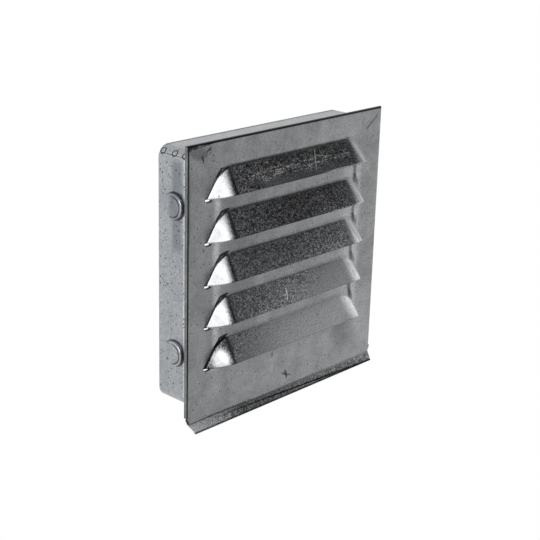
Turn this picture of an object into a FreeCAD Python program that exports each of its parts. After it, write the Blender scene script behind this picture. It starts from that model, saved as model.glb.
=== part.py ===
import FreeCAD, Part
import math
import os

from FreeCAD import Vector

os.makedirs("parts", exist_ok=True)

# Wall vent panel: a louvred face sheet with a sleeve behind it that goes into the wall.
# Built with z = 0 at the drip lip's fold, y = 0 on the face's front, y growing into the wall.
# All sizes in millimetres.

sheet = 1.2
bend_radius = 1.0

# face sheet
face_width = 254.0
face_height = 254.0
hem_leg = 7.4
hem_gap = 2.0
hem_seam = 0.4
corner_cut = 4.6
fold_inset = 2.1
hem_relief = 1.9

# drip lip along the bottom edge
lip_length = 10.2
lip_angle = 45.0
lip_tip_inset = 5.4

# louvres, each pressed outwards over its own slit
louvre_count = 5
louvre_pitch = 39.0
first_slit_height = 47.2
louvre_length = 213.0
louvre_height = 27.0
louvre_reach = 17.0
louvre_lip_rise = 5.2
louvre_end_taper = 19.0
louvre_lip_taper = 20.0
louvre_shoulder_radius = 38.0
louvre_nose_radius = 10.0
louvre_root_radius = 4.5
slit_width = 1.5
relief_length = 6.5
relief_drop = 0.9

# sleeve: one strip bent round, its ends lapped and spot welded at a corner
sleeve_side_inset = 9.6
sleeve_top_inset = 8.6
sleeve_bottom_inset = 9.7
sleeve_depth = 46.7
sleeve_corner_radius = 11.0
weld_flange_width = 8.0
weld_flange_relief = 3.0
lap_length = 14.0
lap_step_length = 3.0
seam_width = 0.5
weld_angle = 38.0
weld_to_seam = 2.0
weld_diameter = 6.6
weld_ring_width = 1.0
weld_ring_depth = 0.5
weld_offsets = (15.7, 28.3, 42.9)

# raised bosses pressed out of the sleeve's side walls
boss_foot_diameter = 24.4
boss_top_diameter = 22.6
boss_height = 3.5
boss_edge_radius = 1.3
boss_depth = 26.0
boss_heights = (59.4, 195.6)

hem_thickness = 2 * sheet + hem_gap
half_width = face_width / 2
sleeve_half_width = half_width - sleeve_side_inset
sleeve_top = face_height - sleeve_top_inset
sleeve_bottom = sleeve_bottom_inset
sleeve_centre = (sleeve_top + sleeve_bottom) / 2


def middle_of(points):
    total = Vector(0, 0, 0)
    for point in points:
        total = total + point
    return total * (1 / len(points))


def solid_from(polygons):
    # closed solid from flat polygons, each turned to face outwards
    heart = middle_of([point for points in polygons for point in points])
    faces = []
    for points in polygons:
        normal = (points[1] - points[0]).cross(points[2] - points[0])
        if normal.dot(middle_of(points) - heart) < 0:
            points = points[::-1]
        faces.append(Part.Face(Part.makePolygon(points + points[:1])))
    return Part.makeSolid(Part.makeShell(faces))


def prism(points, direction):
    return Part.Face(Part.makePolygon(points + points[:1])).extrude(direction)


def box(x0, x1, y0, y1, z0, z1):
    return Part.makeBox(x1 - x0, y1 - y0, z1 - z0, Vector(x0, y0, z0))


def edges_where(shape, test):
    return [edge for edge in shape.Edges if test(edge)]


def hem_section():
    # folded edge seen end on: x runs inwards from the sheet's edge, y into the wall
    nose = hem_thickness / 2
    outer = Part.makeCylinder(nose, 1, Vector(nose, nose, 0), Vector(0, 0, 1))
    inner = Part.makeCylinder(nose - sheet, 1, Vector(nose, nose, 0), Vector(0, 0, 1))
    ring = outer.cut(inner).common(box(0, nose, 0, hem_thickness, 0, 1))
    leg = box(nose, hem_leg, hem_thickness - sheet, hem_thickness, 0, 1)
    return ring.fuse(leg).removeSplitter()


def hem(length, end_cut):
    # one hem along z, its ends mitred at 45 degrees where end_cut asks for it
    section = hem_section()
    base = [face for face in section.Faces
            if abs(face.CenterOfMass.z) < 1e-6 and abs(face.normalAt(0, 0).z) > 0.9][0]
    strip = base.extrude(Vector(0, 0, length))
    reach = hem_leg + 5
    for end in end_cut:
        if end == "top":
            corner = Vector(0, -1, length - hem_seam / 2)
            away = [corner, corner + Vector(reach, 0, -reach), corner + Vector(reach, 0, reach),
                    corner + Vector(-1, 0, reach), corner + Vector(-1, 0, 1)]
        else:
            corner = Vector(0, -1, hem_seam / 2)
            away = [corner, corner + Vector(reach, 0, reach), corner + Vector(reach, 0, -reach),
                    corner + Vector(-1, 0, -reach), corner + Vector(-1, 0, -1)]
        strip = strip.cut(prism(away, Vector(0, hem_thickness + 2, 0)))
    return strip


def face_hems():
    side_start = corner_cut + hem_relief
    left = hem(face_height - side_start, ["top"])
    left.translate(Vector(-half_width, 0, side_start))
    right = left.mirror(Vector(0, 0, 0), Vector(1, 0, 0))
    top = hem(face_width, ["bottom", "top"])
    top.rotate(Vector(0, 0, 0), Vector(0, 1, 0), 90)
    top.translate(Vector(-half_width, 0, face_height))
    return [left, right, top]


def face_blank():
    # flat of the sheet inside the hems, with its two lower corners cut off
    nose = hem_thickness / 2
    foot = corner_cut + hem_relief - hem_seam
    outline = [
        Vector(-half_width + fold_inset, 0, 0),
        Vector(half_width - fold_inset, 0, 0),
        Vector(half_width, 0, corner_cut),
        Vector(half_width, 0, foot),
        Vector(half_width - nose, 0, foot),
        Vector(half_width - nose, 0, face_height - nose),
        Vector(-half_width + nose, 0, face_height - nose),
        Vector(-half_width + nose, 0, foot),
        Vector(-half_width, 0, foot),
        Vector(-half_width, 0, corner_cut),
    ]
    return prism(outline, Vector(0, sheet, 0))


def drip_lip():
    # bend and straight of the lip, drawn in the y-z plane and run along the bottom edge
    angle = math.radians(lip_angle)
    setback = bend_radius * math.tan(angle / 2)
    centre = Vector(0, -bend_radius, setback)

    def on_bend(radius, turn):
        return centre + Vector(0, radius * math.cos(turn), -radius * math.sin(turn))

    outer_radius = bend_radius + sheet
    along = Vector(0, -math.sin(angle), -math.cos(angle))
    straight = lip_length - setback
    front_end = on_bend(bend_radius, angle)
    back_end = on_bend(outer_radius, angle)
    edges = [
        Part.Arc(on_bend(bend_radius, 0), on_bend(bend_radius, angle / 2), front_end).toShape(),
        Part.makeLine(front_end, front_end + along * straight),
        Part.makeLine(front_end + along * straight, back_end + along * straight),
        Part.makeLine(back_end + along * straight, back_end),
        Part.Arc(back_end, on_bend(outer_radius, angle / 2), on_bend(outer_radius, 0)).toShape(),
        Part.makeLine(on_bend(outer_radius, 0), on_bend(bend_radius, 0)),
    ]
    section = Part.Face(Part.Wire(edges))
    half = half_width - fold_inset
    section.translate(Vector(-half, 0, 0))
    strip = section.extrude(Vector(2 * half, 0, 0))

    # the lip narrows to its free edge, so each end is cut off at a slant
    out = Vector(0, -math.cos(angle), math.sin(angle))
    for side in (-1, 1):
        fold = Vector(side * half, 0, 0) - out * 4 * sheet
        tip = fold + along * lip_length + Vector(side * (fold_inset - lip_tip_inset), 0, 0)
        past = tip + (tip - fold)
        wide = Vector(side * lip_length, 0, 0)
        strip = strip.cut(prism([fold, past, past + wide, fold + wide], out * 8 * sheet))
    return strip, setback


def crossing(planes):
    # point shared by three planes, each given as (normal, offset)
    (a, p), (b, q), (c, r) = planes
    volume = a.dot(b.cross(c))
    return (b.cross(c) * p + c.cross(a) * q + a.cross(b) * r) * (1 / volume)


def louvre_wedge(inwards, back, bottom):
    # hood before it is hollowed: sloping face, two tapered ends; skins are parallel planes
    half = louvre_length / 2
    tip = Vector(-half, 0, 0)
    shoulder = Vector(-half + louvre_end_taper, 0, louvre_height)
    nose = Vector(-half + louvre_lip_taper, -louvre_reach, louvre_lip_rise)
    left = (shoulder - tip).cross(nose - tip)
    left.normalize()
    if left.x > 0:
        left = left * -1
    slope = Vector(0, -(louvre_height - louvre_lip_rise), louvre_reach)
    slope.normalize()
    right = Vector(-left.x, left.y, left.z)
    left_plane = (left, left.dot(tip) - inwards)
    right_plane = (right, right.dot(Vector(half, 0, 0)) - inwards)
    slope_plane = (slope, slope.dot(shoulder) - inwards)
    back_plane = (Vector(0, 1, 0), back)
    floor_plane = (Vector(0, 0, 1), bottom)
    a1 = crossing([left_plane, back_plane, floor_plane])
    b1 = crossing([left_plane, back_plane, slope_plane])
    c1 = crossing([left_plane, slope_plane, floor_plane])
    a2, b2, c2 = [Vector(-v.x, v.y, v.z) for v in (a1, b1, c1)]
    wedge = solid_from([[a1, a2, b2, b1], [b1, b2, c2, c1], [a1, c1, c2, a2],
                        [a1, b1, c1], [a2, c2, b2]])
    for shoulder, nose in ((b1, c1), (b2, c2)):
        ridge = edge_between(wedge, shoulder, nose)
        radii = [louvre_shoulder_radius - inwards, louvre_nose_radius - inwards]
        if ridge.Vertexes[0].Point.distanceToPoint(nose) < 1e-4:
            radii.reverse()
        wedge = wedge.makeFillet(radii[0], radii[1], [ridge])
    return wedge


def edge_between(shape, first, last):
    for edge in shape.Edges:
        ends = [vertex.Point for vertex in edge.Vertexes]
        if len(ends) == 2:
            for a, b in (ends, ends[::-1]):
                if a.distanceToPoint(first) < 1e-4 and b.distanceToPoint(last) < 1e-4:
                    return edge
    raise ValueError("no such edge")


def louvre_skin(inwards, depth, radius, overrun):
    # half space behind one skin of the sheet with the hood standing out of it, root rounded
    side, top = louvre_window()
    low = -2 * relief_drop - overrun
    slab = box(-side - overrun, side + overrun, inwards, depth, low, top + overrun)
    body = slab.fuse(louvre_wedge(inwards, depth, low))

    def at_root(edge):
        low, high = edge.BoundBox.YMin, edge.BoundBox.YMax
        flat = abs(low - inwards) < 1e-4 and abs(high - inwards) < 1e-4
        middle = edge.CenterOfMass
        inside = abs(middle.x) < side - 1 and low + 0.1 < middle.z < top - 0.5
        return flat and inside

    return body.makeFillet(radius, edges_where(body, at_root))


def louvre_window():
    # half width and height of the flat strip that each louvre is pressed in
    side = louvre_length / 2 + louvre_root_radius + 2 * sheet
    return side, louvre_height + louvre_root_radius + 2 * sheet


def louvre():
    # one louvre with the flat strip round it, its slit at z = 0
    front = louvre_skin(0.0, 2 * sheet, louvre_root_radius, 0)
    behind = louvre_skin(sheet, 3 * sheet, louvre_root_radius + sheet, 1)
    skin = front.cut(behind)
    skin = skin.cut(mouth())
    half = louvre_length / 2
    skin = skin.cut(box(-half, half, -0.01, sheet + 1, -10, slit_width))
    return skin.cut(box(-half * 2, half * 2, -2 * louvre_reach, 6 * sheet, -10, 0))


def mouth():
    # space under the hood: its edge leaves the sheet level and lifts along an arc to the lip
    reach = louvre_reach
    lift = louvre_lip_rise - slit_width
    swing = (reach * reach + lift * lift) / (2 * lift)
    half_turn = math.asin(reach / swing) / 2
    start = Vector(-louvre_length, 0, slit_width)
    rise = start + Vector(0, -swing * math.sin(half_turn), swing * (1 - math.cos(half_turn)))
    lip = start + Vector(0, -reach, lift)
    steep = math.tan(2 * half_turn)
    far = lip + Vector(0, -reach, reach * steep)
    corner = Vector(start.x, far.y, -12)
    foot = Vector(start.x, 0, -12)
    wire = Part.Wire([Part.Arc(start, rise, lip).toShape(), Part.makeLine(lip, far),
                      Part.makeLine(far, corner), Part.makeLine(corner, foot),
                      Part.makeLine(foot, start)])
    return Part.Face(wire).extrude(Vector(2 * louvre_length, 0, 0))


def reliefs():
    # obround holes that let each end of a slit open without tearing
    radius = (relief_drop + slit_width) / 2
    level = (slit_width - relief_drop) / 2
    half = louvre_length / 2
    cuts = []
    for side in (-1, 1):
        outer = side * (half - radius)
        inner = side * (half - relief_length + radius)
        low, high = min(outer, inner), max(outer, inner)
        hole = box(low, high, -0.01, sheet + 1, level - radius, level + radius)
        for x in (low, high):
            hole = hole.fuse(Part.makeCylinder(radius, sheet + 1.01, Vector(x, -0.01, level), Vector(0, 1, 0)))
        cuts.append(hole)
    return cuts


def louvred_face():
    lip, setback = drip_lip()
    face = face_blank().cut(box(-face_width, face_width, -1, sheet + 1, -1, setback))
    pressed = louvre()
    side, top = louvre_window()
    for index in range(louvre_count):
        level = first_slit_height + index * louvre_pitch
        face = face.cut(box(-side, side, -1, sheet + 1, level, level + top))
        copy = pressed.copy()
        copy.translate(Vector(0, 0, level))
        face = face.fuse(copy)
        for hole in reliefs():
            hole.translate(Vector(0, 0, level))
            face = face.cut(hole)
    face = face.fuse(lip)
    for strip in face_hems():
        face = face.fuse(strip)
    return face.removeSplitter()


def rounded_wire(half, bottom, top, radius, y):
    corners = [
        (half, top, 0, 1), (-half, top, 1, 0), (-half, bottom, 0, -1), (half, bottom, -1, 0),
    ]
    edges = []
    root = radius * (1 - math.sqrt(0.5))
    for index, (x, z, _, _) in enumerate(corners):
        sx = 1 if x > 0 else -1
        sz = 1 if index < 2 else -1
        first = Vector(x, y, z - sz * radius)
        last = Vector(x - sx * radius, y, z)
        if index in (1, 3):
            first, last = last, first
        middle = Vector(x - sx * root, y, z - sz * root)
        edges.append(("arc", first, middle, last))
    parts = []
    for index, (_, first, middle, last) in enumerate(edges):
        parts.append(Part.Arc(first, middle, last).toShape())
        parts.append(Part.makeLine(last, edges[(index + 1) % 4][1]))
    return Part.Wire(parts)


def ring(half, bottom, top, radius, thickness, y0, y1):
    outer = Part.Face(rounded_wire(half, bottom, top, radius, y0))
    inner = Part.Face(rounded_wire(half - thickness, bottom + thickness, top - thickness,
                                   radius - thickness, y0))
    return outer.cut(inner).extrude(Vector(0, y1 - y0, 0))


def weld_flange(length):
    # strip of the sleeve's front edge turned in flat against the face's back, run along x
    r = bend_radius
    outer = bend_radius + sheet
    bend = Part.makeCylinder(outer, length, Vector(0, outer, outer), Vector(1, 0, 0))
    bend = bend.cut(Part.makeCylinder(r, length, Vector(0, outer, outer), Vector(1, 0, 0)))
    bend = bend.common(box(0, length, 0, outer, 0, outer))
    leg = box(0, length, 0, sheet, outer, weld_flange_width)
    return bend.fuse(leg)


def sleeve_flanges():
    outer = bend_radius + sheet
    run = sleeve_corner_radius + weld_flange_relief
    flanges = []
    slots = []
    for side in ("bottom", "right", "top", "left"):
        if side in ("bottom", "top"):
            length = 2 * (sleeve_half_width - run)
        else:
            length = sleeve_top - sleeve_bottom - 2 * run
        strip = weld_flange(length)
        room = box(0, length, -0.5, outer, -0.5, outer)
        for piece, kept in ((strip, flanges), (room, slots)):
            piece.translate(Vector(-length / 2, sheet, 0))
            if side == "bottom":
                piece.translate(Vector(0, 0, sleeve_bottom))
            elif side == "top":
                piece.rotate(Vector(0, 0, 0), Vector(0, 1, 0), 180)
                piece.translate(Vector(0, 0, sleeve_top))
            elif side == "right":
                piece.rotate(Vector(0, 0, 0), Vector(0, 1, 0), -90)
                piece.translate(Vector(sleeve_half_width, 0, sleeve_centre))
            else:
                piece.rotate(Vector(0, 0, 0), Vector(0, 1, 0), 90)
                piece.translate(Vector(-sleeve_half_width, 0, sleeve_centre))
            kept.append(piece)
    return flanges, slots


def corner_arc_centre():
    return Vector(-sleeve_half_width + sleeve_corner_radius, 0, sleeve_top - sleeve_corner_radius)


def sector(start_angle, end_angle, reach, y0, y1):
    # wedge of space round the lapped corner's centre, angles measured up from the side wall
    centre = corner_arc_centre() + Vector(0, y0, 0)
    points = [centre]
    steps = 4
    for step in range(steps + 1):
        turn = math.radians(start_angle + (end_angle - start_angle) * step / steps)
        points.append(centre + Vector(-math.cos(turn), 0, math.sin(turn)) * reach)
    return prism(points, Vector(0, y1 - y0, 0))


def seam_angle():
    return weld_angle - math.degrees(weld_to_seam / sleeve_corner_radius)


def lap():
    # inner end of the strip, carried on under the outer end round the top left corner
    radius = sleeve_corner_radius - sheet
    under = ring(sleeve_half_width - sheet, sleeve_bottom + sheet, sleeve_top - sheet, radius,
                 sheet, 3 * sheet, sleeve_depth)
    seam = seam_angle()
    start = seam - math.degrees(lap_step_length / radius)
    end = seam + math.degrees(lap_length / radius)
    on_arc = under.common(sector(start, min(end, 90), 2 * sleeve_corner_radius, 0, sleeve_depth + 1))
    centre = corner_arc_centre()
    beyond = math.radians(max(end - 90, 0)) * radius
    straight = box(centre.x - 0.01, centre.x + beyond + 0.02, 3 * sheet, sleeve_depth,
                   sleeve_top - 2 * sheet, sleeve_top - sheet)
    width = math.degrees(seam_width / sleeve_corner_radius)
    groove = sector(seam - width / 2, seam + width / 2, 2 * sleeve_corner_radius, 0, sleeve_depth + 1)
    skin = ring(sleeve_half_width + 1, sleeve_bottom - 1, sleeve_top + 1, sleeve_corner_radius + 1,
                1 + 0.6 * sheet, 0, sleeve_depth + 1)
    return on_arc.fuse(straight), groove.common(skin)


def weld_rings():
    centre = corner_arc_centre()
    turn = math.radians(weld_angle)
    outwards = Vector(-math.cos(turn), 0, math.sin(turn))
    rings = []
    for offset in weld_offsets:
        skin = centre + outwards * (sleeve_corner_radius - weld_ring_depth) + Vector(0, offset, 0)
        outer = Part.makeCylinder(weld_diameter / 2, 4, skin, outwards)
        inner = Part.makeCylinder(weld_diameter / 2 - weld_ring_width, 6, skin - outwards, outwards)
        rings.append(outer.cut(inner))
    return rings


def boss():
    # pressed round button with a rounded edge; axis along x, foot on the wall's outer skin at
    # x = 0, raised towards -x, every wall one sheet thick
    foot = boss_foot_diameter / 2
    rim = boss_top_diameter / 2
    lean = math.hypot(foot - rim, boss_height) * sheet / boss_height
    shift = sheet * (foot - rim) / boss_height
    clear = foot + 2
    points = [
        Vector(-boss_height, 0, 0), Vector(-boss_height, 0, rim), Vector(0, 0, foot),
        Vector(0, 0, clear), Vector(sheet, 0, clear), Vector(sheet, 0, foot + shift - lean),
        Vector(sheet - boss_height, 0, rim + shift - lean), Vector(sheet - boss_height, 0, 0),
    ]
    section = Part.Face(Part.makePolygon(points + points[:1]))
    button = section.revolve(Vector(0, 0, 0), Vector(1, 0, 0), 360)

    def at_rim(edge):
        curve = edge.Curve
        return (hasattr(curve, "Radius") and abs(curve.Radius - rim) < 1e-4
                and abs(edge.BoundBox.XMin + boss_height) < 1e-4 and edge.BoundBox.XLength < 1e-4)

    return button.makeFillet(boss_edge_radius, edges_where(button, at_rim)), clear


def sleeve():
    band = ring(sleeve_half_width, sleeve_bottom, sleeve_top, sleeve_corner_radius, sheet,
                sheet, sleeve_depth)
    flanges, slots = sleeve_flanges()
    for slot in slots:
        band = band.cut(slot)
    for flange in flanges:
        band = band.fuse(flange)
    doubler, groove = lap()
    band = band.fuse(doubler).cut(groove)
    for mark in weld_rings():
        band = band.cut(mark)
    button, clear = boss()
    for height in boss_heights:
        for side in (-1, 1):
            piece = button.copy()
            if side > 0:
                piece = piece.mirror(Vector(0, 0, 0), Vector(1, 0, 0))
            spot = Vector(side * sleeve_half_width, boss_depth, height)
            piece.translate(spot)
            hole = Part.makeCylinder(clear, 2 * sheet + 2, spot + Vector(-sheet - 1, 0, 0), Vector(1, 0, 0))
            band = band.cut(hole).fuse(piece)
    return band.removeSplitter()


def save(shape, name):
    placed = shape.copy()
    placed.translate(Vector(0, -hem_thickness, -sleeve_centre))
    placed.exportStep("parts/" + name + ".step")
    box_ = placed.BoundBox
    print(name, placed.isValid(), len(placed.Solids), round(placed.Volume),
          [round(v, 2) for v in (box_.XMin, box_.XMax, box_.YMin, box_.YMax, box_.ZMin, box_.ZMax)])


save(louvred_face(), "louvred_face")
save(sleeve(), "wall_sleeve")
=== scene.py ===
import bpy
import math
from mathutils import Matrix, Vector


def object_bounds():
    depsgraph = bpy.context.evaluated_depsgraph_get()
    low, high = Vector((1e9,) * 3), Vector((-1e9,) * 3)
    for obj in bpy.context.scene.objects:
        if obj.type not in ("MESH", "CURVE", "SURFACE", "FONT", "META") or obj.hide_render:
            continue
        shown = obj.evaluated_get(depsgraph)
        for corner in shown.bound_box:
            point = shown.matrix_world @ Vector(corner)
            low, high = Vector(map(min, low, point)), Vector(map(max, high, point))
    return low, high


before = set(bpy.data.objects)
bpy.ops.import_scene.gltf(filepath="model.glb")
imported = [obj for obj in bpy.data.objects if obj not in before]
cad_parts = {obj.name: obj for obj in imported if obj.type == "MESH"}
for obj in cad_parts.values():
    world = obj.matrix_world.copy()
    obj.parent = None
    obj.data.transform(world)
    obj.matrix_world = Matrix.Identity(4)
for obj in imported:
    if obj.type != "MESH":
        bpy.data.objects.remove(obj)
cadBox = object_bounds()
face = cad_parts["louvred_face"]
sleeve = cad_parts["wall_sleeve"]
print("frame loaded:", sorted(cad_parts))

camera = {
    "place": (-0.80523, -0.73923, 0.37107),  # metres, in the part's own frame
    "azimuth": -46.775,
    "elevation": 19.343,
    "roll": 1.589,
    "lens": 83.09,
    "sensor": 36.0,
    "shift": (-0.00093, 0.00093),
    "clip": (0.05, 60.0),
}


def makeCamera(spec):
    a, e, r = (math.radians(spec[k]) for k in ("azimuth", "elevation", "roll"))
    back = Vector((math.sin(a) * math.cos(e), -math.cos(a) * math.cos(e), math.sin(e)))
    level = Vector((math.cos(a), math.sin(a), 0))
    upright = back.cross(level)
    right = level * math.cos(r) + upright * math.sin(r)
    up = upright * math.cos(r) - level * math.sin(r)
    data = bpy.data.cameras.new("camera")
    data.lens, data.sensor_width = spec["lens"], spec["sensor"]
    data.shift_x, data.shift_y = spec["shift"]
    data.clip_start, data.clip_end = spec["clip"]
    cam = bpy.data.objects.new("camera", data)
    turn = Matrix((right, up, back)).transposed().to_4x4()
    cam.matrix_world = Matrix.Translation(spec["place"]) @ turn
    bpy.context.scene.collection.objects.link(cam)
    bpy.context.scene.camera = cam


makeCamera(camera)
print("camera placed")


def hexColour(text):
    # sRGB hex to the linear colour that Blender's sockets take
    channels = [int(text[i:i + 2], 16) / 255 for i in (1, 3, 5)]
    linear = [c / 12.92 if c <= 0.04045 else ((c + 0.055) / 1.055) ** 2.4 for c in channels]
    return (*linear, 1.0)


def addNode(tree, kind, inputs=(), out=0, **settings):
    # adds a node with its settings and inputs, each a plain value or another node's output, and
    # gives back one of its outputs
    node = tree.nodes.new("ShaderNode" + kind)
    for name, value in settings.items():
        setattr(node, name, value)
    for name, value in inputs.items() if isinstance(inputs, dict) else enumerate(inputs):
        if isinstance(value, bpy.types.NodeSocket):
            tree.links.new(value, node.inputs[name])
        else:
            node.inputs[name].default_value = value
    return node.outputs[out] if node.outputs else node


soft = {"interpolation_type": "SMOOTHSTEP"}
times = {"operation": "MULTIPLY"}
colours = {"data_type": "RGBA", "out": 2}
noiseSpan = (0.36, 0.64)  # most values of a noise texture lie in here
grainSpan = (0.30, 0.70)  # and nearly all of them in here


def startMaterial(name):
    material = bpy.data.materials.new(name)
    material.use_nodes = True
    material.node_tree.nodes.clear()
    return material, material.node_tree


def millimetres(tree):
    # place on the part in millimetres
    place = addNode(tree, "TexCoord", out="Object")
    return addNode(tree, "VectorMath", {0: place, "Scale": 1000.0}, operation="SCALE")


def wander(tree, place, size, reach):
    # place pushed about by noise, so that what is measured from it gets a ragged rim
    drift = addNode(tree, "TexNoise", {"Vector": place, "Scale": 1 / size, "Detail": 2.0}, "Color")
    centred = addNode(tree, "VectorMath", [drift, (0.5, 0.5, 0.5)], operation="SUBTRACT")
    return addNode(tree, "VectorMath", [centred, (reach, reach, reach), place],
                   operation="MULTIPLY_ADD")


def variation(tree, place, size, contrast, detail=2.0, shift=0.0):
    # noise with cells of about size, as a factor about one and as it is
    moved = addNode(tree, "VectorMath", [place, (shift, shift, shift)], operation="ADD")
    raw = addNode(tree, "TexNoise", {"Vector": moved, "Scale": 1 / size, "Detail": detail,
                                     "Roughness": 0.6})
    return addNode(tree, "MapRange", [raw, *noiseSpan, 1 - contrast, 1 + contrast]), raw


def spangle(tree, place, size, low, high):
    # crystals of about size, most of them dull and a few bright
    cells = addNode(tree, "TexVoronoi", {"Vector": place, "Scale": 1 / size}, "Color")
    pick = addNode(tree, "Math", [addNode(tree, "SeparateXYZ", [cells]), 2.0], operation="POWER")
    return addNode(tree, "MapRange", [pick, 0.0, 1.0, low, high])


def patch(tree, place, **sides):
    # mask of a box on the part: x=(low, high, rim), fading to nothing over the rim
    mask = 1.0
    for side, (low, high, rim) in sides.items():
        value = addNode(tree, "SeparateXYZ", [place], side.upper())
        rise = addNode(tree, "MapRange", [value, low - rim, low], **soft)
        fall = addNode(tree, "MapRange", [value, high + rim, high], **soft)
        mask = addNode(tree, "Math", [mask, addNode(tree, "Math", [rise, fall], **times)], **times)
    return mask


def stroke(tree, place, start, end, width):
    # mask of a mark from start to end, widest in its middle
    along = Vector(end) - Vector(start)
    away = addNode(tree, "VectorMath", [place, start], operation="SUBTRACT")
    dot = addNode(tree, "VectorMath", [away, along], "Value", operation="DOT_PRODUCT")
    share = addNode(tree, "Math", [dot, along.length_squared], operation="DIVIDE", use_clamp=True)
    foot = addNode(tree, "VectorMath", {0: along, "Scale": share}, operation="SCALE")
    gap = addNode(tree, "VectorMath", [away, foot], "Value", operation="DISTANCE")
    rest = addNode(tree, "Math", [1.0, share], operation="SUBTRACT")
    belly = addNode(tree, "Math", [share, rest], **times)  # from 0 at the tips to 0.25
    reach = addNode(tree, "MapRange", [belly, 0.0, 0.25, width * 0.45, width])
    near = addNode(tree, "Math", [gap, reach], operation="DIVIDE")
    return addNode(tree, "MapRange", [near, 1.0, 0.3], **soft)


def shade(tree, colour, mask, factor):
    # colour times factor where the mask is one
    level = addNode(tree, "MapRange", [mask, 0.0, 1.0, 1.0, factor])
    return addNode(tree, "Mix", {"Factor": 1.0, 6: colour, 7: level},
                   blend_type="MULTIPLY", **colours)


def paint(tree, colour, mask, tone, strength):
    # colour covered with a tone where the mask is one
    cover = addNode(tree, "Math", [mask, strength], **times)
    return addNode(tree, "Mix", {"Factor": cover, 6: colour, 7: hexColour(tone)}, **colours)


def marks(tree, place, colour, spec):
    # scratches, creases and smudges, each one lighter or darker than the coating, and marks and
    # patches of painted shade
    for start, end, width, tone, strength in spec:
        colour = paint(tree, colour, stroke(tree, place, start, end, width), tone, strength)
    return colour


def specks(tree, place, spec):
    # scattered dots of dross, one in some of the cells of a Voronoi pattern
    cells = addNode(tree, "TexVoronoi", {"Vector": place, "Scale": 1 / spec["speckMm"]})
    pick, size, _ = addNode(tree, "SeparateXYZ", [cells.node.outputs["Color"]]).node.outputs
    reach = addNode(tree, "MapRange", [size, 0.0, 1.0, *spec["speckReach"]])
    near = addNode(tree, "Math", [cells, reach], operation="DIVIDE")
    few = addNode(tree, "Math", [pick, spec["speckShare"]], operation="LESS_THAN")
    return addNode(tree, "Math", [addNode(tree, "MapRange", [near, 1.0, 0.5], **soft), few], **times)


def crevices(tree, spec):
    # painted shade where two faces meet, from where a fifth of the view is shut off
    reach = spec["creviceMm"] / 1000
    clear = addNode(tree, "AmbientOcclusion", {"Distance": reach}, "AO", samples=8)
    return addNode(tree, "MapRange", [clear, 0.80, 0.45], **soft)


def specksAndCrevices(tree, place, colour, spec):
    colour = paint(tree, colour, specks(tree, place, spec), *spec["speckTone"])
    # then painted shade in the crevices
    return paint(tree, colour, crevices(tree, spec), *spec["creviceTone"])


def zincBody(tree, place, spec):
    # tone of the coating, from clouds, mottle and fine grain, then the grain and the roughness
    swing = 0.5
    cloud = variation(tree, place, spec["cloudMm"], swing, detail=3.0)[0]
    level = addNode(tree, "MapRange", [cloud, 1 - swing, 1 + swing], **soft)
    base, tint = hexColour(spec["base"]), hexColour(spec["tint"])
    tone = addNode(tree, "Mix", {"Factor": level, 6: base, 7: tint}, **colours)
    mottle = variation(tree, place, spec["mottleMm"], spec["mottleContrast"], shift=40.0)[0]
    fine, grain = variation(tree, place, spec["grainMm"], spec["grainContrast"])
    both = addNode(tree, "Math", [mottle, fine], **times)
    tone = addNode(tree, "Mix", {"Factor": 1.0, 6: tone, 7: both}, blend_type="MULTIPLY", **colours)
    return tone, grain, addNode(tree, "MapRange", [grain, *grainSpan, *spec["roughness"]])


def finish(tree, colour, rough, height, depth):
    bump = addNode(tree, "Bump", {"Strength": 1.0, "Height": height, "Distance": depth})
    shader = addNode(tree, "BsdfPrincipled", {"Base Color": colour, "Metallic": 1.0,
                                              "Roughness": rough, "Normal": bump})
    addNode(tree, "OutputMaterial", {"Surface": shader})


# In the finishes, lengths are millimetres on the real part. Limits in threes are a mask's low side,
# high side and rim, in twos where a mask starts and where it is full, and in fours two places and
# the values there. A drift is the size of the noise and how far it pushes.

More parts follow.
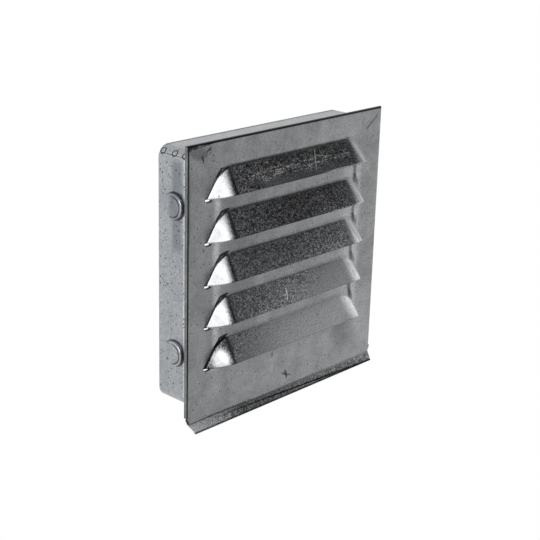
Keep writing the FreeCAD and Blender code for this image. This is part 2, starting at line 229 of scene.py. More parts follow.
# hot-dip galvanised steel sheet: a grey metal that mirrors its surroundings softly, clouded by the
# zinc's spangle and dotted with specks of dross; the fine grain is drawn coarser than the real one,
# as it would be too small to show
faceZinc = {
    "name": "galvanisedSteelSheet",
    "base": "#828384",
    "tint": "#77797A",
    "roughness": (0.21, 0.30),  # in the hollows and on the crests of the grain
    "grainMm": 1.4,
    "grainContrast": 0.18,
    "grainDepth": 0.02,
    "mottleMm": 5.5,
    "mottleContrast": 0.06,
    "cloudMm": 24.0,
    "speckMm": 3.6,  # from one cell's middle to the next
    "speckReach": (0.14, 0.30),  # the smallest and the largest dot, as a share of its cell
    "speckShare": 0.18,  # how many of the cells hold a dot
    "speckTone": ("#28292B", 0.80),
    "creviceMm": 1.6,  # how far the painted shade reaches from a corner
    "creviceTone": ("#1E1F20", 0.85),
    "markDrift": (3.0, 2.2),
    # marks: start, end, half width, tone, strength
    "marks": [
        # painted shade: black at the top left corner and along the top hem next to it
        ((-125.5, -4.4, 122.5), (-122.0, -4.4, 125.0), 3.4, "#101011", 0.90),
        ((-121.5, -4.4, 123.6), (-116.0, -4.4, 124.2), 2.4, "#141415", 0.90),
        # two dark scratches
        ((-105.3, -4.4, 118.1), (-99.6, -4.4, 121.9), 1.5, "#1B1B1D", 0.80),
        ((-110.4, -4.4, 116.4), (-108.1, -4.4, 109.6), 1.8, "#161617", 0.85),
        # painted shade: a broad patch over the top left corner, a band down the left hem and one
        # along the top hem
        ((-124.0, -4.4, 121.5), (-106.0, -4.4, 116.0), 9.0, "#3A3B3D", 0.50),
        ((-125.0, -4.4, 118.0), (-125.0, -4.4, 40.0), 2.8, "#3E3F41", 0.40),
        ((-119.0, -4.4, 123.0), (-92.0, -4.4, 125.4), 1.0, "#1E1E20", 0.85),
        # painted shade in a crease at the top right
        ((121.0, -4.4, 119.5), (104.0, -4.4, 106.5), 1.4, "#2C2C2E", 0.70),
        # painted shade along the cut corner at the lower left and along the fold over the drip lip
        ((-127.0, -4.4, -121.8), (-123.8, -4.4, -127.4), 1.8, "#101011", 0.90),
        ((-124.0, -4.4, -127.4), (-45.0, -4.4, -127.4), 1.0, "#1E1E20", 0.80),
        # smudges and scratches
        ((0.4, -4.4, -111.6), (3.0, -4.4, -120.4), 2.3, "#232325", 0.75),
        ((-4.0, -4.4, -114.0), (8.0, -4.4, -118.8), 2.1, "#2A2A2C", 0.65),
        ((-17.7, -4.4, -86.4), (-18.0, -4.4, -93.0), 1.3, "#2E2F31", 0.75),
        ((28.9, -5.4, 101.3), (18.4, -18.8, 84.2), 0.9, "#FFFFFF", 0.85),
        ((-9.4, -11.6, -23.6), (-14.6, -18.9, -33.0), 0.8, "#FFFFFF", 0.65),
    ],
    # where the pressing stands out of the flat sheet
    "pressing": {
        "pitch": 39.0,
        "lowestSlit": -80.35,
        "heights": (-84.0, 101.0, 2.0),  # from below the lowest louvre to above the top one
        "lean": (0.30, 0.52),  # upward part of the way the surface faces
        "ahead": (-5.0, -6.5),
        "level": (0.16, 0.02),  # sideways part of the way it faces
        "lipFold": (-127.6, -128.2),
    },
    # the same zinc stretched over the press tool: a dull speckle, with painted shade on the upper
    # louvres and painted light towards the lowest one's right end, where the speckle is also worn
    # smooth
    "pressed": {
        "tone": "#77787A",
        "left": (52.0, -64.0, 1.30, 0.88),  # painted light and shade: how light it is at the left, by height
        "right": (50.0, -65.0, 0.80, 1.45),
        "blend": (-80.0, 0.0),
        "grainMm": 1.2,
        "grainDepth": 0.12,
        "smoothContrast": 0.20,
        "spangleMm": 1.05,
        "spangle": (0.16, 2.75),  # the dullest and the brightest crystals
        "wornTilt": -0.50,  # the worn part's limit slants across the louvres
        "worn": (-8.0, -56.0),
        "wornDown": (50.0, 0.0, 0.0, 0.30),  # at least this much, by height
        "wornRight": (66.0, 80.0),
        "wornLip": (-104.0, -82.0, 1.0, 0.35),  # along the drip lip instead
        # a painted reflection: a smooth, lighter stretch low on the top louvre
        "paintedReflection": {"x": (-36.0, 52.0, 24.0), "z": (78.0, 84.5, 4.0)},
        "paintedReflectionDrift": (9.0, 5.0),
        "paintedReflectionShare": 0.75,
        "paintedReflectionLight": 1.35,
        # lighter streaks along its middle: start, end, half width
        "streaks": ((-62.0, -13.0, 89.0), (68.0, -12.5, 92.0), 9.0),
        "streakDrift": (9.0, 6.0),
        "streakMm": 1.3,
        "streakStretch": (0.10, 1.0, 1.0),  # ten times as long as they are high
        "streakLimits": (0.47, 0.60),
        "streakLight": 4.0,
    },
    # painted highlight: the louvres' right ends are painted pale where the sheet rounds over
    "rightEnds": {
        "ends": (70.0, 89.0),
        "light": 1.85,
        "lower": (0.0, -60.0),  # and paler still on the lower louvres
        "lowerLight": 1.75,
        "slant": -0.23,  # the slope's pale edge widens towards the free edge
        "slope": (70.0, 81.0),
        "slopeUp": (-45.0, 20.0),
        "slopeLight": 3.6,
    },
    # the flat sheet round the louvres: painted reflections of the strain left by the press, patches
    # of painted light and shade, and painted shade at the louvres' shoulders
    "flatSheet": {
        "flat": (-6.0, -5.0),
        "underTop": (80.0, 72.0),  # the strain stops under the top louvre
        "drift": (16.0, 4.0),
        # painted reflections in upright bands where the press strained the sheet: sides, factor
        "paintedStrainHeights": (-79.0, 80.0, 7.0),
        "paintedStrainReflections": [
            ((-92.5, -91.5, 6.0), 1.80),
            ((-76.0, -48.0, 12.0), 0.82),
            ((84.0, 86.5, 20.0), 1.40),
            ((89.0, 91.0, 2.4), 0.42),
            ((95.0, 98.0, 4.0), 1.18),
        ],
        # soft patches of painted light and shade: sides, heights, factor
        "paintedLightAndShade": [
            ((-96.0, -88.0, 9.0), (-100.0, -84.0, 14.0), 1.18),
            ((74.0, 84.0, 12.0), (-100.0, -80.0, 16.0), 0.74),
            ((-30.0, 130.0, 20.0), (-130.0, -96.0, 12.0), 1.05),
            ((106.0, 130.0, 8.0), (-40.0, 50.0, 20.0), 0.89),
            ((50.0, 130.0, 30.0), (106.0, 130.0, 8.0), 1.13),
            ((108.0, 130.0, 14.0), (-126.0, -80.0, 30.0), 1.15),
        ],
        # painted shade at each louvre's left shoulder: start, end, half width, with the height over
        # the slit
        "shoulderShadeDrift": (3.0, 1.2),
        "shoulderShade": [
            ((-93.5, -4.4, 18.8), (-86.6, -4.4, 26.2), 1.9),
            ((-88.5, -4.4, 25.8), (-78.0, -4.4, 27.4), 2.1),
        ],
        "shoulderShadeFactor": 0.12,
        # painted shade at the right shoulders below the top louvre: start, end, half width
        "rightShoulderShade": ((90.0, -4.4, 29.0), (95.5, -4.4, 17.0), 3.4),
        "rightShoulderShadeFactor": 0.45,
    },
    # the drip lip is painted lighter at its left end and darker beyond, with painted shade along a
    # crease that nears its free edge, and along the free edge
    "dripLip": {
        "light": (-122.0, -60.0, 4.5, 0.80),
        "creaseHeight": (-64.0, 127.0, -130.1, -134.4),
        "creaseWidth": (0.8, 0.3),
        "gloom": (2.6, 0.0, 0.0, 0.5),  # painted shade over the crease, by the height above it
        "gloomBelow": (-0.2, 0.0),
        "gloomAlong": (-30.0, 90.0),
        "creaseAlong": (-105.0, -20.0),
        "creaseFactor": 0.10,
        "freeEdge": (-133.4, -133.9),
        "freeEdgeFactor": 0.25,
    },
    # painted shade along the louvres' free edges and a thin painted glint at the upper right, and
    # painted shade round the slots at their left tips
    "freeEdges": {
        "front": 4.4,  # how far the flat sheet stands ahead of the middle
        # the edge's height over the slit is the reach squared times the first, plus the second
        "rise": (0.0122, 1.5),
        "edgeShade": (1.3, 0.4),  # heights over the free edge
        "edgeShadeAhead": (-5.0, -6.0),
        "edgeShadeSide": (0.1, 0.4, 0.4, 1.0),  # fainter on the slopes than on the ends
        "edgeShadeFactor": 0.30,
        "glint": (1.9, 0.9),
        "glintAlong": (20.0, 50.0),
        "glintUp": (30.0, 75.0),
        "glintLight": 7.0,
        "slotBelow": 12.0,  # how far below the slits the slots' height counts from
        "slot": ((-106.4, -4.4, 12.2), (-99.0, -4.4, 11.2), 2.6),
        "slotFactor": 0.06,
    },
    # painted shade where the sheet turns at the louvres' roots and round the hems, and on cut edges
    # facing down
    "turns": {
        "sideRoots": {"y": (-0.93, -0.80, 0.03), "x": (-1.0, -0.16, 0.12)},
        "sideRootFactor": 0.10,
        "topRoots": {"y": (-0.965, -0.83, 0.03), "x": (-0.06, 0.02, 0.08)},
        "topRootUp": (10.0, 100.0, 0.10, 0.80),
        "topRootFactor": 0.35,
        "cutEdges": (-1.0, -0.80, 0.1),
        "cutEdgeFactor": 0.22,
        # hems: the way they face, their place, factor
        "hems": [
            ({"x": (-0.62, -0.22, 0.1)}, {"x": (-130.0, -125.5, 1.0)}, 0.25),
            ({"x": (0.50, 1.0, 0.25)}, {"x": (125.5, 130.0, 1.0)}, 0.25),
            ({"z": (0.40, 1.0, 0.25)}, {"z": (125.2, 130.0, 0.7)}, 0.22),
        ],
    },
    # painted shade, ragged with the grain, runs over the ridge of each left end, most of all low
    # down, and painted shade darkens the lowest left end towards its rims
    "leftEnds": {
        "facing": (-1.0, -0.16, 0.1),
        "hoods": {"x": (-108.0, 90.0, 1.0), "z": (-84.0, 106.0, 1.0)},
        "fringeSlant": -0.40,
        "fringeGrain": 9.0,  # how ragged the fringe is
        "fringe": (-90.0, -83.0),
        "fringeFactor": 0.10,
        "lowest": (-50.0, -54.0),
        "heart": (-93.0, -12.5, 10.0),  # the middle of its pale part, with the height over the slit
        "rims": (4.0, 14.0),  # distances from there
        "rimFactor": 0.35,
        "rimSpeckleFactor": 0.25,
    },
    # how the grain shows in the surface: none on the curved ends, which mirror a little more softly
    "surface": {
        "smooth": (0.10, 0.02),
        "softEnds": (0.10, 0.40, 0.0, 0.14),
    },
}


def readFace(tree, spec):
    # where a point of the face is, which way it faces, and which part of the pressing it is on
    place = millimetres(tree)
    x, y, z = addNode(tree, "SeparateXYZ", [place]).node.outputs
    facing = addNode(tree, "NewGeometry", out="Normal")
    sideways, _, upwards = addNode(tree, "SeparateXYZ", [facing]).node.outputs
    side = addNode(tree, "Math", [sideways], operation="ABSOLUTE")

    # height over the slit below, the same for every louvre
    over = addNode(tree, "Math", [z, -spec["lowestSlit"]], operation="ADD")
    over = addNode(tree, "Math", [over, spec["pitch"]], operation="FLOORED_MODULO")

    # pulled is what leans up and stands out of the flat, and stretched is its level part
    leaning = addNode(tree, "MapRange", [upwards, *spec["lean"]], **soft)
    ahead = addNode(tree, "MapRange", [y, *spec["ahead"]], **soft)
    pulled = addNode(tree, "Math", [leaning, ahead], **times)
    level = addNode(tree, "MapRange", [side, *spec["level"]], **soft)
    lip = addNode(tree, "MapRange", [z, *spec["lipFold"]], **soft)
    return {
        "place": place, "x": x, "y": y, "z": z, "facing": facing, "side": side, "over": over,
        "folded": addNode(tree, "CombineXYZ", [x, y, over]),
        "louvres": patch(tree, place, z=spec["heights"]),
        "pulled": pulled,
        "stretched": addNode(tree, "Math", [pulled, level], **times),
        "lip": lip,
        "body": addNode(tree, "MapRange", [lip, 1.0, 0.0]),
    }


def dullSlopes(tree, at, colour, spec):
    # gives the colour, with painted light and shade, the speckle and the coarse grain of the slopes
    # and the lip
    # painted light and shade: lighter or darker by height, one way at the left and another at the
    # right
    left = addNode(tree, "MapRange", [at["z"], *spec["left"]])
    right = addNode(tree, "MapRange", [at["z"], *spec["right"]])
    across = addNode(tree, "MapRange", [at["x"], *spec["blend"]], **soft)
    level = addNode(tree, "Mix", {"Factor": across, 2: left, 3: right})
    level = addNode(tree, "Mix", {"Factor": at["lip"], 2: level, 3: 1.0})

    tilted = addNode(tree, "Math", [at["x"], spec["wornTilt"], at["z"]], operation="MULTIPLY_ADD")
    worn = addNode(tree, "MapRange", [tilted, *spec["worn"]], **soft)
    down = addNode(tree, "MapRange", [at["z"], *spec["wornDown"]])
    worn = addNode(tree, "Math", [worn, down], operation="MAXIMUM")
    rightEnd = addNode(tree, "MapRange", [at["x"], *spec["wornRight"]], **soft)
    worn = addNode(tree, "Math", [worn, rightEnd], operation="MAXIMUM")
    corner = addNode(tree, "MapRange", [at["x"], *spec["wornLip"]])
    worn = addNode(tree, "Mix", {"Factor": at["lip"], 2: worn, 3: corner})
    # a painted reflection low on the top louvre, where the speckle also turns smooth
    paintedReflection = patch(tree, wander(tree, at["place"], *spec["paintedReflectionDrift"]), **spec["paintedReflection"])
    share = addNode(tree, "Math", [paintedReflection, spec["paintedReflectionShare"]], **times)
    worn = addNode(tree, "Math", [worn, share], operation="MAXIMUM")

    faint, coarse = variation(tree, at["place"], spec["grainMm"], spec["smoothContrast"],
                              detail=3.0, shift=7.0)
    speckle = spangle(tree, at["place"], spec["spangleMm"], *spec["spangle"])
    speckle = addNode(tree, "Mix", {"Factor": worn, 2: speckle, 3: faint})
    level = addNode(tree, "Math", [level, speckle], **times)
    dull = addNode(tree, "Mix", {"Factor": 1.0, 6: hexColour(spec["tone"]), 7: level},
                   blend_type="MULTIPLY", **colours)
    colour = addNode(tree, "Mix", {"Factor": at["stretched"], 6: colour, 7: dull}, **colours)

    # lighter streaks along the middle of the top louvre
    lengthwise = addNode(tree, "VectorMath", [at["place"], spec["streakStretch"]],
                         operation="MULTIPLY")
    streaky = variation(tree, lengthwise, spec["streakMm"], 1.0, shift=3.0)[1]
    streaky = addNode(tree, "MapRange", [streaky, *spec["streakLimits"]], **soft)
    lighterStreaks = stroke(tree, wander(tree, at["place"], *spec["streakDrift"]), *spec["streaks"])
    lighterStreaks = addNode(tree, "Math", [lighterStreaks, at["stretched"]], **times)
    lighterStreaks = addNode(tree, "Math", [lighterStreaks, streaky], **times)
    colour = shade(tree, colour, lighterStreaks, spec["streakLight"])
    # the painted reflection lightens the slope there
    paintedReflection = addNode(tree, "Math", [paintedReflection, at["stretched"]], **times)
    colour = shade(tree, colour, paintedReflection, spec["paintedReflectionLight"])
    return colour, speckle, coarse


def paleRightEnds(tree, at, colour, spec):
    # painted highlight on the right ends, stronger on the lower louvres, and along the slopes' right
    # edges
    ends = addNode(tree, "MapRange", [at["x"], *spec["ends"]], **soft)
    rightHighlight = addNode(tree, "Math", [at["pulled"], ends], **times)
    rightHighlight = addNode(tree, "Math", [rightHighlight, at["body"]], **times)
    colour = shade(tree, colour, rightHighlight, spec["light"])
    lower = addNode(tree, "MapRange", [at["z"], *spec["lower"]], **soft)
    lower = addNode(tree, "Math", [rightHighlight, lower], **times)
    colour = shade(tree, colour, lower, spec["lowerLight"])

    slanted = addNode(tree, "Math", [at["over"], spec["slant"], at["x"]], operation="MULTIPLY_ADD")
    edge = addNode(tree, "MapRange", [slanted, *spec["slope"]], **soft)
    edge = addNode(tree, "Math", [edge, at["stretched"]], **times)
    edge = addNode(tree, "Math", [edge, at["body"]], **times)
    upper = addNode(tree, "MapRange", [at["z"], *spec["slopeUp"]])
    edge = addNode(tree, "Math", [edge, upper], **times)
    return shade(tree, colour, edge, spec["slopeLight"])


def flatSheetLightAndShade(tree, at, colour, spec):
    underTop = addNode(tree, "MapRange", [at["z"], *spec["underTop"]], **soft)
    strips = addNode(tree, "MapRange", [at["y"], *spec["flat"]], **soft)
    strips = addNode(tree, "Math", [strips, underTop], **times)
    drifting = wander(tree, at["place"], *spec["drift"])
    # painted reflections of the strain in upright bands, then patches of painted light and shade
    for sides, factor in spec["paintedStrainReflections"]:
        streak = patch(tree, drifting, x=sides, z=spec["paintedStrainHeights"])
        colour = shade(tree, colour, addNode(tree, "Math", [streak, strips], **times), factor)
    for sides, heights, factor in spec["paintedLightAndShade"]:
        colour = shade(tree, colour, patch(tree, drifting, x=sides, z=heights), factor)

    # painted shade at each louvre's left shoulder
    ragged = wander(tree, at["folded"], *spec["shoulderShadeDrift"])
    for mark in spec["shoulderShade"]:
        shoulderShade = addNode(tree, "Math", [stroke(tree, ragged, *mark), at["louvres"]], **times)
        colour = shade(tree, colour, shoulderShade, spec["shoulderShadeFactor"])
    # painted shade at the right shoulders below the top louvre
    shoulderShade = addNode(tree, "Math", [stroke(tree, ragged, *spec["rightShoulderShade"]), underTop], **times)
    shoulderShade = addNode(tree, "Math", [shoulderShade, at["louvres"]], **times)
    return shade(tree, colour, shoulderShade, spec["rightShoulderShadeFactor"])


def creasedLip(tree, at, colour, spec):
    # painted light at the lip's left end and painted shade beyond
    light = addNode(tree, "MapRange", [at["x"], *spec["light"]])
    light = addNode(tree, "Mix", {"Factor": at["lip"], 2: 1.0, 3: light})
    colour = addNode(tree, "Mix", {"Factor": 1.0, 6: colour, 7: light},
                     blend_type="MULTIPLY", **colours)

    # painted shade along the crease and above it, then along the free edge
    height = addNode(tree, "MapRange", [at["x"], *spec["creaseHeight"]])
    off = addNode(tree, "Math", [at["z"], height], operation="SUBTRACT")
    away = addNode(tree, "Math", [off], operation="ABSOLUTE")
    crease = addNode(tree, "MapRange", [away, *spec["creaseWidth"]], **soft)
    gloom = addNode(tree, "MapRange", [off, *spec["gloom"]])
    along = addNode(tree, "MapRange", [at["x"], *spec["gloomAlong"]], **soft)
    gloom = addNode(tree, "Math", [gloom, along], **times)
    below = addNode(tree, "MapRange", [off, *spec["gloomBelow"]])
    gloom = addNode(tree, "Math", [gloom, below], **times)
    crease = addNode(tree, "Math", [crease, gloom], operation="MAXIMUM")
    along = addNode(tree, "MapRange", [at["x"], *spec["creaseAlong"]])
    crease = addNode(tree, "Math", [crease, along], **times)
    crease = addNode(tree, "Math", [crease, at["lip"]], **times)
    colour = shade(tree, colour, crease, spec["creaseFactor"])
    freeEdge = addNode(tree, "MapRange", [at["z"], *spec["freeEdge"]])
    return shade(tree, colour, freeEdge, spec["freeEdgeFactor"])


def edgeShadeGlintAndSlots(tree, at, colour, spec, layout):
    # rim is the height over the free edge, which lifts in an arc as it reaches out of the sheet
    reach = addNode(tree, "Math", [at["y"], spec["front"]], operation="ADD")
    squared = addNode(tree, "Math", [reach, reach], **times)
    rise = addNode(tree, "Math", [squared, *spec["rise"]], operation="MULTIPLY_ADD")
    rim = addNode(tree, "Math", [at["over"], rise], operation="SUBTRACT")
    # painted shade along the free edges
    edgeShade = addNode(tree, "MapRange", [rim, *spec["edgeShade"]], **soft)
    ahead = addNode(tree, "MapRange", [at["y"], *spec["edgeShadeAhead"]], **soft)
    edgeShade = addNode(tree, "Math", [edgeShade, ahead], **times)
    edgeShade = addNode(tree, "Math", [edgeShade, at["body"]], **times)
    sides = addNode(tree, "MapRange", [at["side"], *spec["edgeShadeSide"]])
    edgeShade = addNode(tree, "Math", [edgeShade, sides], **times)
    colour = shade(tree, colour, edgeShade, spec["edgeShadeFactor"])

    # a thin painted glint along the upper louvres' free edges, towards the right
    glint = addNode(tree, "MapRange", [rim, *spec["glint"]], **soft)
    along = addNode(tree, "MapRange", [at["x"], *spec["glintAlong"]], **soft)
    glint = addNode(tree, "Math", [glint, at["stretched"]], **times)
    glint = addNode(tree, "Math", [glint, along], **times)
    upper = addNode(tree, "MapRange", [at["z"], *spec["glintUp"]], **soft)
    glint = addNode(tree, "Math", [glint, upper], **times)
    colour = shade(tree, colour, glint, spec["glintLight"])

    # painted shade round the slots at the left tips
    # the slots lie across the slits, so their height counts from below
    lift = spec["slotBelow"] - layout["lowestSlit"]
    raised = addNode(tree, "Math", [at["z"], lift], operation="ADD")
    raised = addNode(tree, "Math", [raised, layout["pitch"]], operation="FLOORED_MODULO")
    folded = addNode(tree, "CombineXYZ", [at["x"], at["y"], raised])
    slot = addNode(tree, "Math", [stroke(tree, folded, *spec["slot"]), at["louvres"]], **times)
    return shade(tree, colour, slot, spec["slotFactor"])


def darkTurns(tree, at, colour, spec):
    # painted shade at the roots, on cut edges facing down and round the hems
    roots = patch(tree, at["facing"], **spec["sideRoots"])
    colour = shade(tree, colour, roots, spec["sideRootFactor"])
    upper = addNode(tree, "MapRange", [at["z"], *spec["topRootUp"]])
    roots = addNode(tree, "Math", [patch(tree, at["facing"], **spec["topRoots"]), upper], **times)
    colour = shade(tree, colour, roots, spec["topRootFactor"])
    flat = addNode(tree, "NewGeometry", out="True Normal")
    colour = shade(tree, colour, patch(tree, flat, z=spec["cutEdges"]), spec["cutEdgeFactor"])
    for facing, sides, factor in spec["hems"]:
        turn = patch(tree, at["facing"], **facing)
        turn = addNode(tree, "Math", [turn, patch(tree, at["place"], **sides)], **times)
        colour = shade(tree, colour, turn, factor)
    return colour


def paintedShadeOnLeftEnds(tree, at, colour, speckle, coarse, spec):
    # painted shade, ragged with the grain, runs over the ridges of the left ends, and painted shade
    # with the speckle darkens the lowest one towards its rims
    leftwards = patch(tree, at["facing"], x=spec["facing"])
    hoods = patch(tree, at["place"], **spec["hoods"])
    leftwards = addNode(tree, "Math", [leftwards, hoods], **times)
    lowest = addNode(tree, "MapRange", [at["z"], *spec["lowest"]], **soft)
    others = addNode(tree, "MapRange", [lowest, 1.0, 0.0])

    slanted = addNode(tree, "Math", [at["over"], spec["fringeSlant"], at["x"]],
                      operation="MULTIPLY_ADD")
    slanted = addNode(tree, "Math", [coarse, spec["fringeGrain"], slanted],
                      operation="MULTIPLY_ADD")
    fringe = addNode(tree, "MapRange", [slanted, *spec["fringe"]], **soft)
    fringe = addNode(tree, "Math", [fringe, leftwards], **times)
    fringe = addNode(tree, "Math", [fringe, others], **times)
    colour = shade(tree, colour, fringe, spec["fringeFactor"])

    heart = addNode(tree, "VectorMath", [at["folded"], spec["heart"]], "Value", operation="DISTANCE")
    rims = addNode(tree, "MapRange", [heart, *spec["rims"]], **soft)
    rims = addNode(tree, "Math", [rims, leftwards], **times)
    rims = addNode(tree, "Math", [rims, lowest], **times)
    colour = shade(tree, colour, rims, spec["rimFactor"])
    speckled = addNode(tree, "Math", [rims, speckle], **times)
    return shade(tree, colour, speckled, spec["rimSpeckleFactor"])


def faceMaterial(spec):
    material, tree = startMaterial(spec["name"])
    at = readFace(tree, spec["pressing"])
    colour, grain, rough = zincBody(tree, at["place"], spec)
    colour, speckle, coarse = dullSlopes(tree, at, colour, spec["pressed"])
    colour = paleRightEnds(tree, at, colour, spec["rightEnds"])
    colour = flatSheetLightAndShade(tree, at, colour, spec["flatSheet"])
    colour = creasedLip(tree, at, colour, spec["dripLip"])
    colour = edgeShadeGlintAndSlots(tree, at, colour, spec["freeEdges"], spec["pressing"])
    colour = darkTurns(tree, at, colour, spec["turns"])
    colour = specksAndCrevices(tree, at["place"], colour, spec)
    ragged = wander(tree, at["place"], *spec["markDrift"])
    colour = marks(tree, ragged, colour, spec["marks"])
    colour = paintedShadeOnLeftEnds(tree, at, colour, speckle, coarse, spec["leftEnds"])

    flatDepth, pressedDepth = spec["grainDepth"] / 1000, spec["pressed"]["grainDepth"] / 1000
    depth = addNode(tree, "Mix", {"Factor": at["stretched"], 2: flatDepth, 3: pressedDepth})
    smooth = addNode(tree, "MapRange", [at["side"], *spec["surface"]["smooth"]], **soft)
    depth = addNode(tree, "Math", [depth, smooth], **times)
    height = addNode(tree, "Mix", {"Factor": at["stretched"], 2: grain, 3: coarse})
    softer = addNode(tree, "MapRange", [at["side"], *spec["surface"]["softEnds"]], **soft)
    rough = addNode(tree, "Math", [rough, softer], operation="ADD")
    finish(tree, colour, rough, height, depth)
    return material


# the same sheet in the sleeve, paler and less rubbed
sleeveZinc = {
    "name": "galvanisedSteelSleeve",
    "base": "#ACAFB2",
    "tint": "#A2A6AA",
    "roughness": (0.29, 0.38),
    "grainMm": 1.4,
    "grainContrast": 0.20,
    "grainDepth": 0.05,
    "mottleMm": 4.5,
    "mottleContrast": 0.07,
    "cloudMm": 30.0,
    "speckMm": 3.4,
    "speckReach": (0.14, 0.33),
    "speckShare": 0.60,
    "speckTone": ("#242528", 0.85),
    "creviceMm": 1.4,
    "creviceTone": ("#242628", 0.85),
    "drift": (5.0, 1.5),
    # a bluish band down the upper part of the left wall
    "band": {"x": (-121.0, -113.0, 1.0), "y": (16.0, 22.0, 6.0), "z": (32.0, 104.0, 8.0)},
    "bandTone": ("#70767E", 0.60),
    # painted light and shade: the left wall's pale line, its darker front, and the darker top wall
    "shades": [
        ({"x": (-118.0, -116.8, 0.3), "y": (9.3, 10.3, 0.5)}, 1.60),
        ({"x": (-118.0, -116.8, 0.3), "y": (0.0, 8.0, 0.8)}, 0.82),
        ({"z": (115.0, 120.0, 2.5)}, 0.82),
    ],
    # the dark line along the top wall's rear edge
    "rearLine": {"x": (-108.0, 130.0, 4.0), "y": (39.0, 50.0, 1.0), "z": (117.0, 130.0, 0.8)},
    "rearLineFactor": 0.40,
    "markDrift": (2.0, 1.6),
    "marks": [
        ((-117.4, 33.0, 103.8), (-117.4, 30.6, 105.2), 1.1, "#4A4C50", 0.70),
        ((-111.6, 35.8, -116.8), (-111.6, 32.6, -116.8), 3.4, "#1C1D1E", 0.90),
        ((-111.6, 20.8, -116.8), (-111.6, 15.6, -116.8), 3.4, "#1C1D1E", 0.90),
        ((-117.4, 40.2, 0.2), (-117.4, 34.9, -4.0), 0.9, "#4A4C50", 0.60),
    ],
    # painted shade in rings round the pressed bosses, where a boss's inner ring shows only towards
    # the face, and dark rings round the spot welds
    "rings": {
        "bossCentre": (0.0, 21.6, 68.1),
        "bossSides": (-122.0, -117.0, 0.2),
        "bossFront": (24.0, 18.0),
        # rings: radius, half width, share of the width that is full
        "innerRing": (9.2, 0.9, 0.3),
        "innerFactor": 0.15,
        "outerRing": (12.3, 0.9, 0.3),
        "outerFactor": 0.35,
        "welds": [(-115.1, 11.3, 113.6), (-115.1, 23.9, 113.6), (-115.1, 38.5, 113.6)],
        "weldRing": (2.8, 0.8, 0.4),
        "weldTone": ("#2C2E31", 0.85),
    },
}


def ringMask(tree, gap, radius, width, core):
    # mask of a ring, from the distance to its centre
    off = addNode(tree, "Math", [gap, radius], operation="SUBTRACT")
    off = addNode(tree, "Math", [off], operation="ABSOLUTE")
    return addNode(tree, "MapRange", [off, width, width * core], **soft)


def bossRings(tree, place, colour, spec):
    # painted shade in rings round the bosses
    y, z = addNode(tree, "SeparateXYZ", [place]).node.outputs[1:]
    level = addNode(tree, "Math", [z], operation="ABSOLUTE")
    middle = addNode(tree, "CombineXYZ", [0.0, y, level])
    gap = addNode(tree, "VectorMath", [middle, spec["bossCentre"]], "Value", operation="DISTANCE")
    outside = patch(tree, place, x=spec["bossSides"])
    front = addNode(tree, "MapRange", [y, *spec["bossFront"]], **soft)
    outer = addNode(tree, "Math", [ringMask(tree, gap, *spec["outerRing"]), outside], **times)
    inner = addNode(tree, "Math", [ringMask(tree, gap, *spec["innerRing"]), outside], **times)
    inner = addNode(tree, "Math", [inner, front], **times)
    colour = shade(tree, colour, inner, spec["innerFactor"])
    return shade(tree, colour, outer, spec["outerFactor"])


def weldRings(tree, place, colour, spec):
    for centre in spec["welds"]:
        gap = addNode(tree, "VectorMath", [place, centre], "Value", operation="DISTANCE")
        ring = ringMask(tree, gap, *spec["weldRing"])
        colour = paint(tree, colour, ring, *spec["weldTone"])
    return colour


def sleeveMaterial(spec):
    material, tree = startMaterial(spec["name"])
    place = millimetres(tree)
    ragged = wander(tree, place, *spec["drift"])
    colour, grain, rough = zincBody(tree, place, spec)
    colour = paint(tree, colour, patch(tree, ragged, **spec["band"]), *spec["bandTone"])
    # painted light and shade on the walls
    for sides, factor in spec["shades"]:
        colour = shade(tree, colour, patch(tree, place, **sides), factor)
    colour = bossRings(tree, place, colour, spec["rings"])
    colour = weldRings(tree, ragged, colour, spec["rings"])
    colour = shade(tree, colour, patch(tree, place, **spec["rearLine"]), spec["rearLineFactor"])
    colour = specksAndCrevices(tree, place, colour, spec)
    colour = marks(tree, wander(tree, place, *spec["markDrift"]), colour, spec["marks"])
    finish(tree, colour, rough, grain, spec["grainDepth"] / 1000)
    return material


for node, material in ((face, faceMaterial(faceZinc)), (sleeve, sleeveMaterial(sleeveZinc))):
    for slot in node.material_slots:
        slot.material = material
print("zinc finishes made")

studio = {
    "floorDrop": 0.35,
    "floorSize": 24.0,
    "paper": "#F4F4F2",
    "white": "#FFFFFF",
    "room": 0.9,
    # softboxes, white cards and black flags: centre in metres, the way each one looks, width and
    # height, and how bright its cloth is
    "boxes": {
        "keySoftbox": {"place": (-0.46, -1.00, 0.82), "faces": (0.35, 0.75, -0.60),
                       "size": (1.25, 0.8), "strength": 10.0},
        "rimSoftbox": {"place": (0.95, -0.04, 0.02), "faces": (-1.0, 0.04, 0.0),
                       "size": (0.55, 0.5), "strength": 1.3},
        "rightCard": {"place": (0.76, -0.42, -0.27), "faces": (-0.8, 0.5, 0.2),
                      "size": (0.16, 0.30), "strength": 1.7},
        "lowCard": {"place": (0.55, -0.48, -0.46), "faces": (-0.6, 0.6, 0.5),
                    "size": (0.7, 0.30), "strength": 1.15},
        "upperFlag": {"place": (0.30, -0.28, 0.60), "faces": (-0.66, 0.62, -0.42),
                      "size": (0.62, 0.66), "strength": 0.12},
        "frontFlag": {"place": (-0.06, -0.60, -0.11), "faces": (0.06, 0.60, 0.11),
                      "size": (0.74, 0.56), "strength": 0.30},
        "sideFlag": {"place": (-0.54, 0.25, -0.22), "faces": (0.54, -0.25, 0.22),
                     "size": (0.07, 0.60), "strength": 0.02},
    },
}


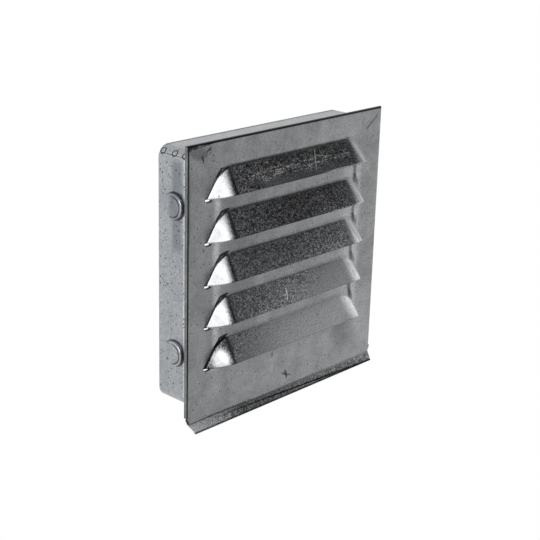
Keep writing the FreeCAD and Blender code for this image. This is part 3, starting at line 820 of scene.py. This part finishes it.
def whiteToEyes(tree, seen, unseen):
    # white for camera, mirror and glass rays, another shader for the rest
    path = addNode(tree, "LightPath").node.outputs
    eyes = addNode(tree, "Math", [path["Is Camera Ray"], path["Is Glossy Ray"]], operation="MAXIMUM")
    eyes = addNode(tree, "Math", [eyes, path["Is Transmission Ray"]], operation="MAXIMUM")
    return addNode(tree, "MixShader", [eyes, unseen, seen])


def makeWorld(spec):
    world = bpy.data.worlds.new("studioRoom")
    bpy.context.scene.world = world
    world.use_nodes = True
    tree = world.node_tree
    tree.nodes.clear()
    white = hexColour(spec["white"])
    seen = addNode(tree, "Background", {"Color": white, "Strength": 1.0})
    room = addNode(tree, "Background", {"Color": white, "Strength": spec["room"]})
    addNode(tree, "OutputWorld", {"Surface": whiteToEyes(tree, seen, room)})


def sheetMesh(name, width, height):
    mesh = bpy.data.meshes.new(name)
    w, h = width / 2, height / 2
    mesh.from_pydata([(-w, -h, 0), (w, -h, 0), (w, h, 0), (-w, h, 0)], [], [(0, 1, 2, 3)])
    thing = bpy.data.objects.new(name, mesh)
    bpy.context.scene.collection.objects.link(thing)
    return thing


def makeFloor(spec, bottom):
    floor = sheetMesh("studioFloor", spec["floorSize"], spec["floorSize"])
    floor.location = (0, 0, bottom - spec["floorDrop"])
    material, tree = startMaterial("whitePaperSweep")
    paper = addNode(tree, "BsdfDiffuse", {"Color": hexColour(spec["paper"])})
    glow = addNode(tree, "Emission", {"Color": hexColour(spec["white"])})
    addNode(tree, "OutputMaterial", {"Surface": whiteToEyes(tree, glow, paper)})
    floor.data.materials.append(material)


def glowSheet(name, place, faces, size, strength):
    # softbox, card or flag, seen only in reflections
    sheet = sheetMesh(name, *size)
    sheet.location = place
    sheet.rotation_mode = "QUATERNION"
    sheet.rotation_quaternion = Vector(faces).to_track_quat("Z", "Y")
    material, tree = startMaterial(name + "Cloth")
    addNode(tree, "OutputMaterial", {"Surface": addNode(tree, "Emission", {"Strength": strength})})
    sheet.data.materials.append(material)
    sheet.visible_camera = False
    sheet.visible_shadow = False


makeWorld(studio)
makeFloor(studio, cadBox[0].z)
for name, spec in studio["boxes"].items():
    glowSheet(name, **spec)
bpy.context.scene.view_settings.view_transform = "Standard"
print("studio made")
